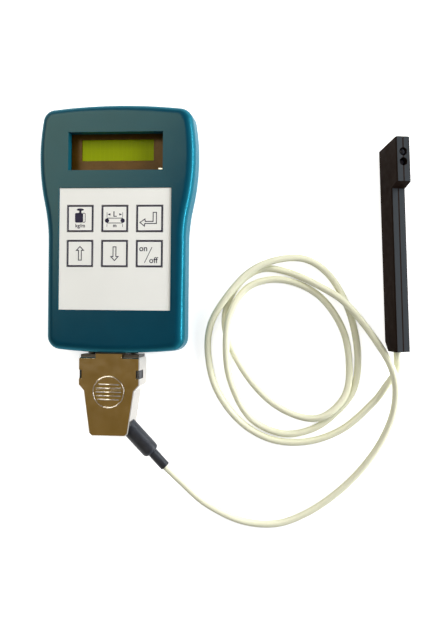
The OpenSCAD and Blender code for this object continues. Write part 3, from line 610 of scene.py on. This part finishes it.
trim = bmesh.new()
bmesh.ops.create_circle(
    trim, segments=ROUND_SEGMENTS, radius=BEAD_RADIUS,
    matrix=Matrix.Translation((RING_RADIUS, 0, 0)) @ quarter_turn("X"),
)
bmesh.ops.spin(
    trim, geom=trim.edges[:], cent=(0, 0, 0), axis=(0, 0, 1), angle=2 * math.pi,
    steps=RING_STEPS, use_merge=True,
)
for number, length in enumerate(RIB_LENGTHS):
    rise = RIB_PITCH * (number - len(RIB_LENGTHS) // 2)
    bmesh.ops.create_cone(
        trim, cap_ends=True, segments=ROUND_SEGMENTS, radius1=RIB_RADIUS, radius2=RIB_RADIUS,
        depth=length * MM, matrix=Matrix.Translation((0, rise * MM, 0)) @ quarter_turn("Y"),
    )
bmesh.ops.recalc_face_normals(trim, faces=trim.faces[:])
bmesh.ops.translate(trim, verts=trim.verts[:], vec=RING_CENTRE)
make_piece("hood_trim", trim, "sensor_lead", hood_plating, smooth=True)
print("hood dressed,", len(RIB_LENGTHS), "grip ribs")

# %% [markdown]
# ## The connector and the boot
# The connector's own parts are very dark metal, partly as painted shade in the gap by the case
# and in the slots. The boot and the sleeve on the lead are black rubber. A plated wall closes the
# outer side of each thumb wheel's slot, and a black lip in each slot is painted shade that makes
# it read dark.

# %% Finish the connector and the boot
plated_steel = grained(
    "plated_steel", (0.60, 0.59, 0.56), (0.72, 0.71, 0.68), 0.26,
    patch=200, grain=1500, relief=0.05, metallic=1.0,
)
dress(plated_steel, "socket_shell")
# Painted shade: this very dark zinc partly stands in for the shade in the gap by the case and in
# the slots.
zinc_and_painted_shade = grained(
    "zinc_and_painted_shade", (0.05, 0.048, 0.046), (0.08, 0.078, 0.075), 0.4,
    patch=260, grain=1300, relief=0.1, metallic=1.0,
)
dress(zinc_and_painted_shade, "plug_shell", "jack_posts", "jackscrew_left", "jackscrew_right")
relief_rubber = grained(
    "relief_rubber", (0.008, 0.011, 0.019), (0.015, 0.019, 0.029), 0.46,
    patch=220, grain=700, relief=0.2,
)
dress(relief_rubber, "strain_relief", "lead_sleeve", sharp=50)

SLOT_Y = -84.7
SLOT_LENGTH = 5.04
SLOT_FILLS = [
    ("slot_walls", 17.7, 0.96, 9.15, 7.5, "hood_metallised", hood_plating),
    # Painted shade: a black lip in each slot, a dark sheet where there is shade.
    ("painted_shade_lips", 17.6, 0.5, 16.4, 6.6, "relief_rubber", relief_rubber),
]
for name, across, thick, middle, height, slot, material in SLOT_FILLS:
    fill = bmesh.new()
    for hand in (-1, 1):
        spot = box_at((HOOD_X + across * hand, SLOT_Y, middle), (thick, SLOT_LENGTH, height))
        bmesh.ops.create_cube(fill, size=MM, matrix=spot)
    make_piece(name, fill, "sensor_lead", material)
print("connector dressed,", len(SLOT_FILLS), "slot fills")

# %% [markdown]
# ## The probe
# The probe is two matt black moulded halves. Its narrow face, which faces the light, is painted
# slate grey as a painted sheen: the dot product of the surface normal with that face's direction
# picks the face out. The distance from the plane between the halves darkens the seam. The probe
# leans on its long edge, so both directions are turned with it, and the lead's end lies in that
# plane. Two round optical parts look out of the nose.

# %% Finish the probe
PROBE_LEAN = math.radians(15)
PROBE_TURN = math.radians(2.4)
SEAM_DARK = 0.25 * MM
SEAM_CLEAR = 0.55 * MM
# Painted sheen: the narrow face that faces the light is painted slate grey.
SHEEN_PAINT_FROM = 0.8
SHEEN_PAINT_FULL = 0.97
PAINTED_SHEEN_TONE = (0.042, 0.047, 0.053, 1)
tilt = Matrix.Rotation(PROBE_TURN, 3, "Z") @ Matrix.Rotation(PROBE_LEAN, 3, "Y")
face_way = tilt @ Vector((0, 0, 1))
seam_way = tilt @ Vector((1, 0, 0))
seam_at = seam_way.dot(lead_line[-1])
probe_plastic = grained(
    "probe_plastic", (0.0150, 0.0085, 0.0062), (0.0200, 0.0118, 0.0088), 0.6,
    patch=80, grain=2200, relief=0.14, specular=0.02,
)
shader = shader_of(probe_plastic)
black = shader.inputs["Base Color"].links[0].from_socket
spots = add_node(probe_plastic, "ShaderNodeTexCoord")
facing = add_node(probe_plastic, "ShaderNodeVectorMath", {1: face_way}, operation="DOT_PRODUCT")
painted_sheen_mask = add_node(probe_plastic, "ShaderNodeMapRange", {
    "From Min": SHEEN_PAINT_FROM, "From Max": SHEEN_PAINT_FULL,
})
across = add_node(probe_plastic, "ShaderNodeVectorMath", {1: seam_way}, operation="DOT_PRODUCT")
off_seam = add_node(probe_plastic, "ShaderNodeMath", {1: seam_at}, operation="SUBTRACT")
distance = add_node(probe_plastic, "ShaderNodeMath", operation="ABSOLUTE")
clear = add_node(probe_plastic, "ShaderNodeMapRange", {
    "From Min": SEAM_DARK, "From Max": SEAM_CLEAR,
})
share = add_node(probe_plastic, "ShaderNodeMath", operation="MULTIPLY")
# Mixes the black with the painted slate sheen, away from the seam.
tone = add_node(probe_plastic, "ShaderNodeMix", {"B": PAINTED_SHEEN_TONE}, data_type="RGBA")
for source, target in (
    (spots.outputs["Normal"], facing.inputs[0]),
    (facing.outputs["Value"], painted_sheen_mask.inputs["Value"]),
    (spots.outputs["Object"], across.inputs[0]),
    (across.outputs["Value"], off_seam.inputs[0]),
    (off_seam.outputs[0], distance.inputs[0]),
    (distance.outputs[0], clear.inputs["Value"]),
    (painted_sheen_mask.outputs["Result"], share.inputs[0]),
    (clear.outputs["Result"], share.inputs[1]),
    (share.outputs[0], tone.inputs["Factor"]),
    (black, tone.inputs["A"]),
    (tone.outputs["Result"], shader.inputs["Base Color"]),
):
    link(probe_plastic, source, target)
dress(probe_plastic, "probe_left", "probe_right", edge=0.3)

LENSES = [
    ("emitter", "lens_clear", (0.008, 0.009, 0.012), (0.014, 0.015, 0.020)),
    ("receiver", "lens_dark", (0.006, 0.006, 0.010), (0.012, 0.011, 0.017)),
]
for node, name, low, high in LENSES:
    lens = grained(name, low, high, 0.16, patch=300, grain=600, relief=0.01, specular=0.2)
    dress(lens, node, sharp=50)
print("probe dressed, seam at", round(seam_at / MM, 2), "mm")

# %% [markdown]
# ## The inner parts
# What is inside the case, the plug and the probe shows only when the battery cover is off or
# the plug is out, but each part still has its own finish. A row holds two tones, roughness,
# metal, and the scales and relief of the grain. Each dome gets a mesh of its own.

# %% Finish the inner parts
DOMES = ["dome_" + key for key in KEYS]
BLACK_PARTS = [
    "display_header", "controller_chip", "battery_clip", "socket_insert", "plug_insert",
]
INNER = [
    (["display_board", "main_board", "probe_board"], "board_green",
     (0.012, 0.085, 0.040), (0.020, 0.115, 0.055), 0.38, 0.0, 180, 1400, 0.1),
    (BLACK_PARTS, "black_plastic",
     (0.014, 0.014, 0.015), (0.022, 0.022, 0.024), 0.5, 0.0, 150, 1800, 0.12),
    (["display_spacers", "tail_connector"], "pale_plastic",
     (0.60, 0.58, 0.50), (0.70, 0.68, 0.60), 0.45, 0.0, 100, 1600, 0.08),
    (["crystal_can", "capacitors"], "can_metal",
     (0.58, 0.58, 0.60), (0.70, 0.70, 0.72), 0.3, 1.0, 250, 1200, 0.06),
    (["battery"], "battery_skin",
     (0.018, 0.019, 0.022), (0.030, 0.031, 0.036), 0.3, 0.0, 60, 900, 0.05),
    (["socket_contacts", "plug_pins"], "contact_gilt",
     (0.62, 0.44, 0.14), (0.74, 0.56, 0.22), 0.25, 1.0, 300, 1500, 0.04),
    (DOMES, "dome_steel",
     (0.60, 0.61, 0.63), (0.72, 0.73, 0.75), 0.28, 1.0, 300, 1500, 0.05),
    (["keypad_spacer"], "spacer_film",
     (0.58, 0.58, 0.54), (0.66, 0.66, 0.62), 0.5, 0.0, 90, 1500, 0.05),
    (["keypad_circuit"], "circuit_film",
     (0.45, 0.41, 0.30), (0.55, 0.50, 0.38), 0.35, 0.0, 120, 1200, 0.05),
]
for names, finish, low, high, roughness, metallic, patch, grain, relief in INNER:
    material = grained(finish, low, high, roughness, patch, grain, relief, metallic)
    dress(material, *names)
for key in KEYS:
    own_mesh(nodes["dome_" + key])
print(sum(len(row[0]) for row in INNER), "inner parts dressed")

# %% [markdown]
# ## The table
# The table is a plain white sheet. For rays from the camera and from glossy or clear surfaces
# it also glows a little, so that it reads white while it keeps the soft shadows.

# %% Set the table
FLOOR_HALF = 2.0
FLOOR_DROP = 0.05 * MM
FLOOR_GLOW = 0.7
FLOOR_TONE = (0.86, 0.86, 0.86, 1)


def seen_rays(owner):
    rays = add_node(owner, "ShaderNodeLightPath")
    either = add_node(owner, "ShaderNodeMath", operation="MAXIMUM")
    seen = add_node(owner, "ShaderNodeMath", operation="MAXIMUM")
    link(owner, rays.outputs["Is Camera Ray"], either.inputs[0])
    link(owner, rays.outputs["Is Glossy Ray"], either.inputs[1])
    link(owner, either.outputs[0], seen.inputs[0])
    link(owner, rays.outputs["Is Transmission Ray"], seen.inputs[1])
    return seen.outputs[0]


floor_sheet = bmesh.new()
bmesh.ops.create_grid(floor_sheet, x_segments=1, y_segments=1, size=FLOOR_HALF)
floor_mesh = bpy.data.meshes.new("floor")
floor_sheet.to_mesh(floor_mesh)
floor_sheet.free()
floor = bpy.data.objects.new("floor", floor_mesh)
floor.location.z = -FLOOR_DROP
bpy.context.collection.objects.link(floor)

table_white = bpy.data.materials.new("table_white")
table_white.use_nodes = True
table_white.node_tree.nodes.clear()
matt = add_node(table_white, "ShaderNodeBsdfDiffuse", {"Color": FLOOR_TONE})
glow = add_node(table_white, "ShaderNodeEmission", {"Strength": FLOOR_GLOW})
both = add_node(table_white, "ShaderNodeAddShader")
choose = add_node(table_white, "ShaderNodeMixShader")
result = add_node(table_white, "ShaderNodeOutputMaterial")
for source, target in (
    (matt.outputs[0], both.inputs[0]),
    (glow.outputs[0], both.inputs[1]),
    (seen_rays(table_white), choose.inputs["Fac"]),
    (matt.outputs[0], choose.inputs[1]),
    (both.outputs[0], choose.inputs[2]),
    (choose.outputs[0], result.inputs["Surface"]),
):
    link(table_white, source, target)
floor_mesh.materials.append(table_white)
print("floor", 2 * FLOOR_HALF, "m")

# %% [markdown]
# ## The lamps
# Two large soft lamps light the part, one from beyond the display end and one from the right.
# Both are left out of reflections, because they would glare on the face from other sides. Two
# more show only in reflections: one at the upper left puts the warm sheen on the face, and a
# low strip draws the bright line along the right-hand edge.

# %% Hang the lamps
WARM = (1.0, 0.95, 0.77)
COOL = (0.97, 0.99, 1.0)
SHEEN = (1.0, 0.92, 0.76)
RIGHT_AIM = (0.05, -0.03, 0.02)
LAMPS = [
    ("lamp_above", (-0.40, 0.62, 1.05), (0.03, 0.0, 0.02), (0.75, 0.75), 5.4, WARM, "lights"),
    ("lamp_sheen", (-0.65, 0.53, 1.05), (-0.13, -0.08, 0.02), (0.9, 0.9), 20.5, SHEEN, "mirrored"),
    ("lamp_right", (1.10, 0.30, 0.37), RIGHT_AIM, (0.9, 0.6), 21.0, COOL, "lights"),
    ("lamp_edge", (1.05, 0.10, 0.10), RIGHT_AIM, (0.9, 0.12), 7.0, COOL, "mirrored"),
]
for name, at, aim, size, power, colour, use in LAMPS:
    data = bpy.data.lights.new(name, "AREA")
    data.shape = "RECTANGLE"
    data.size, data.size_y = size
    data.energy = power
    data.color = colour
    lamp = bpy.data.objects.new(name, data)
    lamp.location = at
    lamp.rotation_euler = (Vector(aim) - Vector(at)).to_track_quat("-Z", "Y").to_euler()
    lamp.visible_glossy = use == "mirrored"
    lamp.visible_diffuse = use == "lights"
    bpy.context.collection.objects.link(lamp)
print(len(LAMPS), "lamps")

# %% [markdown]
# ## The sky
# A grey sky fills in the light. Seen by the camera, mirrored or seen through, it is white low
# down and a warm room above.

# %% Make the sky
SKY_LIGHT = (0.28, 0.28, 0.285, 1)
SKY_SEEN = [
    (0.0, (1, 1, 1)), (0.2, (1, 1, 1)), (0.5, (0.28, 0.26, 0.23)),
    (0.85, (0.27, 0.165, 0.045)), (1.0, (0.285, 0.168, 0.036)),
]
world = bpy.data.worlds.new("sky")
bpy.context.scene.world = world
world.use_nodes = True
sky = world.node_tree.nodes["Background"]
sky.inputs["Strength"].default_value = 1
where = add_node(world, "ShaderNodeTexCoord")
height = add_node(world, "ShaderNodeSeparateXYZ")
shade = add_node(world, "ShaderNodeValToRGB")
stops = shade.color_ramp.elements
for number, (level, colour) in enumerate(SKY_SEEN):
    if number >= len(stops):
        stops.new(level)
    stops[number].position = level
    stops[number].color = (*colour, 1)
room = add_node(world, "ShaderNodeMix", {"A": SKY_LIGHT}, data_type="RGBA")
for source, target in (
    (where.outputs["Generated"], height.inputs[0]),
    (height.outputs["Z"], shade.inputs["Fac"]),
    (seen_rays(world), room.inputs["Factor"]),
    (shade.outputs["Color"], room.inputs["B"]),
    (room.outputs["Result"], sky.inputs["Color"]),
):
    link(world, source, target)
bpy.context.scene.view_settings.view_transform = "Standard"
print("sky with", len(stops), "stops")
